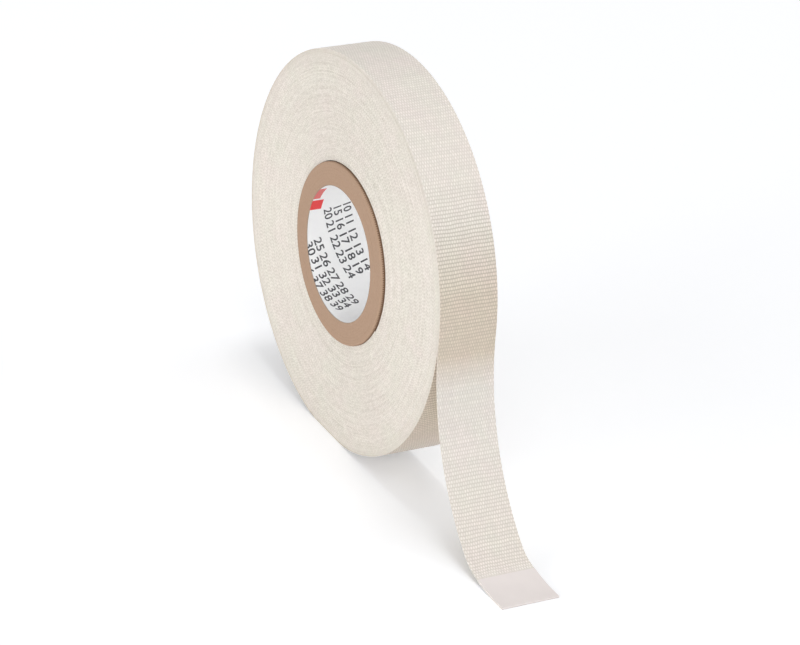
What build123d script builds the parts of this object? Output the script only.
"""Roll of woven glass-cloth electrical tape on a paperboard core, with its free end hanging to the bench.

Frame: origin at the centre of the core's bore, Y along the bore, Z up, X towards the free end.
All lengths are in millimetres and all angles in degrees.
"""

import math
import os

from build123d import *

# Tape: a woven cloth backing with a coat of adhesive on its inner face.
TAPE_WIDTH = 12.0
CLOTH_THICKNESS = 0.12
ADHESIVE_THICKNESS = 0.07

# Core: a printed paper liner, then plies of board glued round each other.
BORE_DIAMETER = 26.5
LINER_THICKNESS = 0.15
PLY_COUNT = 8
PLY_THICKNESS = 0.56
CORE_PROUD = 0.7          # how far each end of the core stands out of the tape's side
CORE_EDGE_ROUND = 0.45    # the wear on the core's outer corners

# Roll: the last turn winds a plain pack of the turns below it.
ROLL_DIAMETER = 79.0
REST_FLAT_DEPTH = 0.5     # the roll settles this much on the bench
REST_BLEND_RADIUS = 20.0  # the bends at both ends of the settled stretch
TURN_END_GAP = 0.5        # from the peeled stub's end to where the last turn runs on as the pack

# Free end: it peels off at the roll's front, hangs in a bow and bends onto the bench.
STUB_LENGTH = 4.5         # peeled tape that stays with the roll
BOW_ANGLE = 50.0          # how far the hanging bow has turned from plumb
BEND_RADIUS = 8.0
BEND_ANGLE = 25.0         # the turn of the short bend at the foot
TOE_RADIUS = 35.0         # the tape flattens onto the bench on this radius
TOE_FLAT = 2.2            # the stretch that lies flat
TAB_LENGTH = 9.4          # a slip of smooth paper folded over the tape's end
TAB_THICKNESS = 0.1
JOINT_GAP = 0.3           # between the pieces on both sides of a joint

ROUND_SHARE = 0.9         # a round takes at most this share of its ply
SAME_PLACE = 1e-6         # points nearer than this are one point
MEASURE_STEP = 0.25       # spacing of the points that the winding is measured on

tape_thickness = CLOTH_THICKNESS + ADHESIVE_THICKNESS
liner_outer_radius = BORE_DIAMETER / 2 + LINER_THICKNESS
core_radius = liner_outer_radius + PLY_COUNT * PLY_THICKNESS
core_length = TAPE_WIDTH + 2 * CORE_PROUD
roll_radius = ROLL_DIAMETER / 2


def toward(angle, distance):
    """A step of that distance in the direction of the angle, in the plane of the roll's side."""
    turn = math.radians(angle)
    return Vector(distance * math.cos(turn), distance * math.sin(turn))


class Arc:
    """One arc of the tape's path, drawn on the cloth's outer face.

    An inset is a depth below that face, towards the adhesive. On the roll it shortens the radius;
    on the free end, which bows the other way, it lengthens it.
    """

    def __init__(self, centre, radius, start, end, inset_sign):
        self.centre = centre
        self.radius = radius
        self.start = start
        self.end = end
        self.inset_sign = inset_sign

    def point(self, angle, inset=0.0):
        return self.centre + toward(angle, self.radius + self.inset_sign * inset)

    def length(self):
        return self.radius * math.radians(abs(self.end - self.start))

    def edge(self, inset):
        reach = self.radius + self.inset_sign * inset
        return CenterArc(self.centre, reach, self.start, self.end - self.start)

    def part(self, start, end):
        return Arc(self.centre, self.radius, start, end, self.inset_sign)


# ---- The last turn: four quarter arcs, each a quarter of the tape's thickness smaller ----

shrink = tape_thickness / 4
quarter_centres = [
    Vector(shrink / 2, -shrink / 2),
    Vector(shrink / 2, shrink / 2),
    Vector(-shrink / 2, shrink / 2),
    Vector(-shrink / 2, -shrink / 2),
]
quarters = [
    Arc(centre, roll_radius - index * shrink, 90 * index, 90 * (index + 1), -1)
    for index, centre in enumerate(quarter_centres)
]
DOWN = 270
bench_z = quarters[2].point(DOWN).Y + REST_FLAT_DEPTH


def settle_blend(quarter, side):
    """The arc that leads a lower quarter into the settled stretch, side -1 before it and 1 after."""
    run = quarter.radius - REST_BLEND_RADIUS
    spread = math.degrees(math.acos((quarter.centre.Y - bench_z - REST_BLEND_RADIUS) / run))
    centre = quarter.centre + toward(DOWN + side * spread, run)
    ends = sorted((DOWN, DOWN + side * spread))
    return Arc(centre, REST_BLEND_RADIUS, ends[0], ends[1], -1)


blend_in = settle_blend(quarters[2], -1)
blend_out = settle_blend(quarters[3], 1)
first_quarter, second_quarter = quarters[:2]
third_quarter = quarters[2].part(quarters[2].start, blend_in.start)
fourth_quarter = quarters[3].part(blend_out.end, quarters[3].end)

# ---- The free end: a bow, a short bend and a toe, each tangent to the last ----

PLUMB = 180
peel_point = first_quarter.point(0)
bend_end_angle = BOW_ANGLE + BEND_ANGLE
toe_z = bench_z + TAB_THICKNESS + tape_thickness
bend_drop = BEND_RADIUS * (math.sin(math.radians(bend_end_angle)) - math.sin(math.radians(BOW_ANGLE)))
toe_drop = TOE_RADIUS * (1 - math.sin(math.radians(bend_end_angle)))
bow_drop = peel_point.Y - toe_z - bend_drop - toe_drop
bow_radius = bow_drop / math.sin(math.radians(BOW_ANGLE))

bow = Arc(peel_point + Vector(bow_radius, 0), bow_radius, PLUMB, PLUMB + BOW_ANGLE, 1)
bend_centre = bow.centre + toward(bow.end, bow_radius - BEND_RADIUS)
bend = Arc(bend_centre, BEND_RADIUS, bow.end, PLUMB + bend_end_angle, 1)
toe_centre = bend.centre + toward(bend.end, BEND_RADIUS - TOE_RADIUS)
toe = Arc(toe_centre, TOE_RADIUS, bend.end, DOWN, 1)
toe_end_x = toe.centre.X + TOE_FLAT
tab_arc = toe.part(DOWN - math.degrees((TAB_LENGTH - TOE_FLAT) / TOE_RADIUS), DOWN)

stub_end_angle = PLUMB + math.degrees(STUB_LENGTH / bow_radius)
tail_start_angle = PLUMB + math.degrees((STUB_LENGTH + JOINT_GAP) / bow_radius)
foot_gap_angle = math.degrees(JOINT_GAP / BEND_RADIUS)
turn_end_angle = 360 - math.degrees((STUB_LENGTH + TURN_END_GAP) / roll_radius)

stub = bow.part(stub_end_angle, PLUMB)
tail_arc = bow.part(tail_start_angle, bow.end)
foot_bend = bend.part(bend.start + foot_gap_angle, bend.end)
last_turn = [first_quarter, second_quarter, third_quarter, blend_in, blend_out]
turn_tail = fourth_quarter.part(fourth_quarter.start, turn_end_angle)
turn_run_on = fourth_quarter.part(turn_end_angle, fourth_quarter.end)


# ---- Turning paths into pieces ----

def path_edges(arcs, inset, flat_end_x=None):
    """The edges of a path at that inset: its arcs, the straight runs between them, and a last flat run."""
    edges = [arc.edge(inset) for arc in arcs]
    for before, after in zip(arcs, arcs[1:]):
        leave = before.point(before.end, inset)
        arrive = after.point(after.start, inset)
        if (arrive - leave).length > SAME_PLACE:
            edges.append(Line(leave, arrive))
    if flat_end_x is not None:
        leave = arcs[-1].point(arcs[-1].end, inset)
        edges.append(Line(leave, Vector(flat_end_x, leave.Y)))
    return edges


def path_ends(arcs, inset, flat_end_x=None):
    """Where a path at that inset starts and stops."""
    start = arcs[0].point(arcs[0].start, inset)
    stop = arcs[-1].point(arcs[-1].end, inset)
    if flat_end_x is not None:
        stop = Vector(flat_end_x, stop.Y)
    return start, stop


def layer_face(arcs, top, bottom, flat_end_x=None):
    """The side view of the tape between two insets along a path."""
    top_ends = path_ends(arcs, top, flat_end_x)
    bottom_ends = path_ends(arcs, bottom, flat_end_x)
    edges = path_edges(arcs, top, flat_end_x) + path_edges(arcs, bottom, flat_end_x)
    edges += [Line(upper, lower) for upper, lower in zip(top_ends, bottom_ends)]
    return make_face(edges)


def across(face, width):
    """A piece with that side view, centred on the roll's middle plane."""
    return extrude(Plane.XZ * face, amount=width / 2, both=True)


def cloth(arcs, flat_end_x=None):
    return across(layer_face(arcs, 0, CLOTH_THICKNESS, flat_end_x), TAPE_WIDTH)


def adhesive(arcs, flat_end_x=None):
    return across(layer_face(arcs, CLOTH_THICKNESS, tape_thickness, flat_end_x), TAPE_WIDTH)


def tube(inner_radius, outer_radius, length):
    return across(Circle(outer_radius) - Circle(inner_radius), length)


# ---- The pieces ----

def core_pieces():
    """The liner, then the plies from the bore outwards; the outermost ply has worn corners."""
    pieces = {"core_liner": tube(BORE_DIAMETER / 2, liner_outer_radius, core_length)}
    for index in range(PLY_COUNT):
        inner_radius = liner_outer_radius + index * PLY_THICKNESS
        ply = tube(inner_radius, inner_radius + PLY_THICKNESS, core_length)
        if index == PLY_COUNT - 1:
            corners = ply.edges().filter_by(GeomType.CIRCLE).sort_by(lambda edge: edge.radius)[-2:]
            ply = fillet(corners, min(CORE_EDGE_ROUND, ROUND_SHARE * PLY_THICKNESS))
        pieces[f"core_ply_{index + 1}"] = ply
    return pieces


def tape_pack():
    """The turns under the last one, as one block; its rim steps up where the last turn runs on as it."""
    under_turn = path_edges(last_turn + [turn_tail], tape_thickness)
    run_on = path_edges([turn_run_on], 0)
    step = Line(turn_tail.point(turn_tail.end, tape_thickness), turn_run_on.point(turn_run_on.start))
    side = make_face(under_turn + run_on + [step]) - Circle(core_radius)
    return across(side, TAPE_WIDTH)


def end_tab():
    """Smooth paper folded over the tape's end, on the cloth above and on the adhesive below."""
    wrap = layer_face([tab_arc], -TAB_THICKNESS, tape_thickness + TAB_THICKNESS, toe_end_x)
    held_tape = layer_face([tab_arc], 0, tape_thickness, toe_end_x - TAB_THICKNESS)
    return across(wrap - held_tape, TAPE_WIDTH)


pieces = core_pieces()
pieces["tape_pack"] = tape_pack()
wound_arcs = [stub] + last_turn + [turn_tail]
pieces["outer_turn_cloth"] = cloth(wound_arcs)
pieces["outer_turn_adhesive"] = adhesive(wound_arcs)
pieces["tail_cloth"] = cloth([tail_arc])
pieces["tail_adhesive"] = adhesive([tail_arc])
foot_arcs = [foot_bend, toe]
foot_end_x = toe_end_x - TAB_THICKNESS
pieces["foot_cloth"] = cloth(foot_arcs, foot_end_x)
pieces["foot_adhesive"] = adhesive(foot_arcs, foot_end_x)
pieces["end_tab"] = end_tab()


# ---- What the source measures and says ----

def path_points(arcs, inset):
    """Points along a path at that inset, each with its distance from the path's start."""
    points = []
    travelled = 0.0
    for arc in arcs:
        count = math.ceil(arc.length() / MEASURE_STEP)
        for index in range(count + 1):
            share = index / count
            angle = arc.start + share * (arc.end - arc.start)
            points.append((travelled + share * arc.length(), arc.point(angle, inset)))
        travelled += arc.length()
    return points


def least_self_gap(arcs):
    """The least distance between the strip's two faces where they belong to different turns."""
    half_turn = math.pi * roll_radius
    lower = path_points(arcs, tape_thickness)
    upper = path_points(arcs, 0)
    return min(
        (below - above).length
        for way_below, below in lower
        for way_above, above in upper
        if abs(way_below - way_above) > half_turn
    )


print(f"bench at z {bench_z:.3f}, peel point at x {peel_point.X:.3f} z {peel_point.Y:.3f}")
print(f"bow radius {bow_radius:.3f}, toe ends at x {toe_end_x:.3f}")
print(f"tail hinge at x {stub.point(stub_end_angle).X:.3f} z {stub.point(stub_end_angle).Y:.3f}")
print(f"foot hinge at x {bow.point(bow.end).X:.3f} z {bow.point(bow.end).Y:.3f}")
print(f"least gap of the last turn to itself {least_self_gap(wound_arcs):.3f}")

os.makedirs("parts", exist_ok=True)
for name, piece in pieces.items():
    export_step(piece, f"parts/{name}.step")
